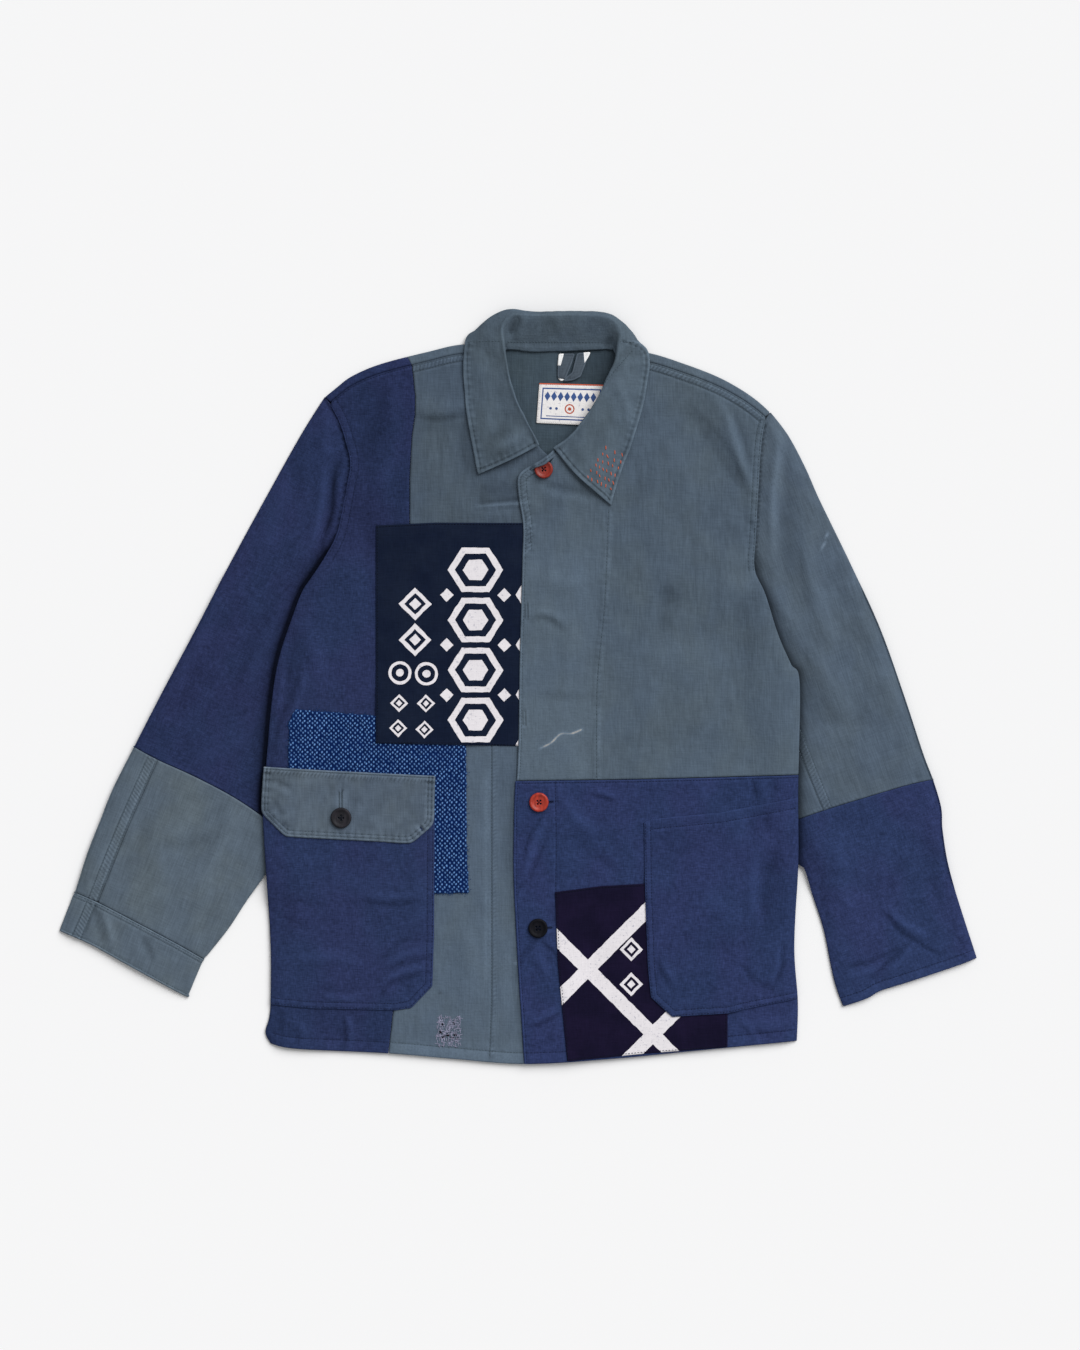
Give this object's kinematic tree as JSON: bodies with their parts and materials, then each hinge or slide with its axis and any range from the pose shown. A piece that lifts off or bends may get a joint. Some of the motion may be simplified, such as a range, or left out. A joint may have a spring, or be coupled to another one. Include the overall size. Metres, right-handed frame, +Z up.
{
  "type": "patched boro jacket laid flat",
  "caption": "Button-front work jacket of pieced green and blue cotton with boro patches, laid flat on its back with sleeves spread.",
  "frame": {"origin": "on the surface the jacket lies on, under the centre of its bounding box", "axes": "+Z up from the surface, +Y from the hem towards the collar, +X towards the wearer's left sleeve"},
  "size_m": [0.973, 0.7991, 0.0163],
  "materials": {
    "green_sateen": "faded matt cotton sateen with pale seam edges",
    "green_sateen_inside": "less faded inside of the green cotton",
    "blue_twill": "faded indigo-blue cotton twill",
    "dark_indigo": "matt dark indigo cotton with white resist motifs",
    "purple_indigo": "matt purple-black indigo cotton with white resist bars",
    "speckled_kasuri": "blue cotton with a small pale dot weave",
    "label_cotton": "woven white label with a plain border",
    "sashiko_thread": "matt orange-red cotton thread",
    "red_button": "mottled semi-gloss red-brown",
    "black_button": "worn dark blue-black"
  },
  "bodies": {
    "root": {"back_panel": "green_sateen_inside", "back_side_panel": "blue_twill", "right_front": "green_sateen", "right_side_front": "blue_twill", "left_front_upper": "green_sateen", "left_front_lower": "blue_twill", "collar": "green_sateen", "right_sleeve_top": "blue_twill", "right_sleeve_under": "blue_twill", "right_sleeve_end_top": "green_sateen", "right_sleeve_end_under": "green_sateen", "right_cuff": "green_sateen", "left_sleeve_top": "green_sateen", "left_sleeve_under": "green_sateen", "left_sleeve_end_top": "blue_twill", "left_sleeve_end_under": "blue_twill", "right_pocket": "blue_twill", "right_pocket_flap": "green_sateen", "left_pocket": "blue_twill", "patch_dark": "dark_indigo", "patch_speckled": "speckled_kasuri", "patch_lattice": "purple_indigo", "hanger_loop": "green_sateen_inside", "neck_label": "label_cotton", "button_collar": "red_button", "button_front_2": "red_button", "button_front_3": "black_button", "button_flap": "black_button"}
  },
  "joints": []
}
